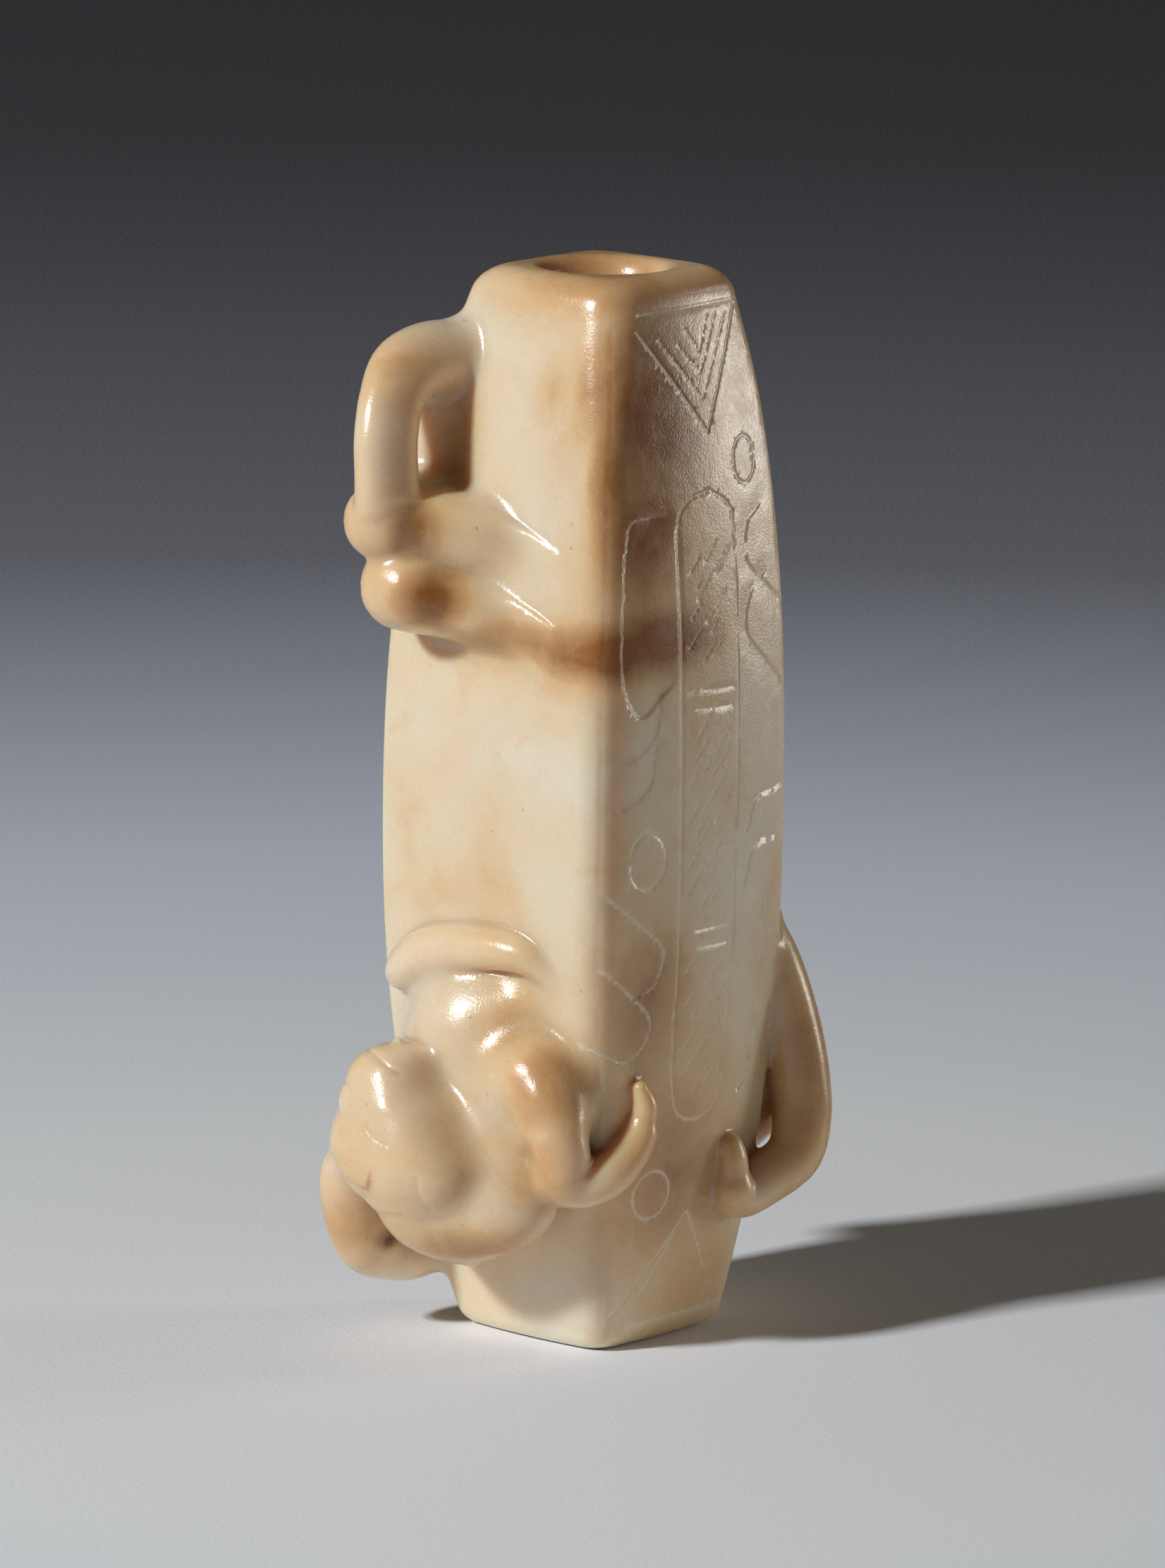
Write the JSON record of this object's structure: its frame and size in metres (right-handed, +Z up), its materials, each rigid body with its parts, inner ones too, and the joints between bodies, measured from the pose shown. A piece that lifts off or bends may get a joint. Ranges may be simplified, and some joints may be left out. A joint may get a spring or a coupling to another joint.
{
  "type": "carved stone tube pendant",
  "caption": "Square barrel-sided stone tube bored end to end for a cord, with a hornless dragon in high relief and openwork limbs.",
  "frame": {"origin": "middle of the foot, on the axis of the cord bore, in the plane the pendant stands on", "axes": "+Z up along the bore, -Y out of the front face that carries the dragon, +X out of the incised right face"},
  "size_m": [0.0234, 0.0365, 0.072],
  "materials": {
    "jade": "polished, translucent, with soft tan veins",
    "jade_russet": "polished, translucent, russet-stained"
  },
  "bodies": {
    "root": {"back_chest": "jade", "back_collar": "jade", "back_ear_left": "jade", "back_ear_right": "jade", "back_head": "jade", "back_left_claw": "jade", "back_left_lower_foreleg": "jade", "back_left_upper_foreleg": "jade", "back_right_claw": "jade", "back_right_lower_foreleg": "jade", "back_right_upper_foreleg": "jade", "front_chest": "jade", "front_collar": "jade", "front_ear_left": "jade", "front_ear_right": "jade", "front_head": "jade", "front_left_claw": "jade", "front_left_lower_foreleg": "jade", "front_left_upper_foreleg": "jade", "front_right_claw": "jade", "front_right_lower_foreleg": "jade", "front_right_upper_foreleg": "jade", "hip_knob": "jade_russet", "lower_thigh": "jade_russet", "tail_loop": "jade_russet", "tube": "jade", "upper_thigh": "jade_russet"}
  },
  "joints": []
}
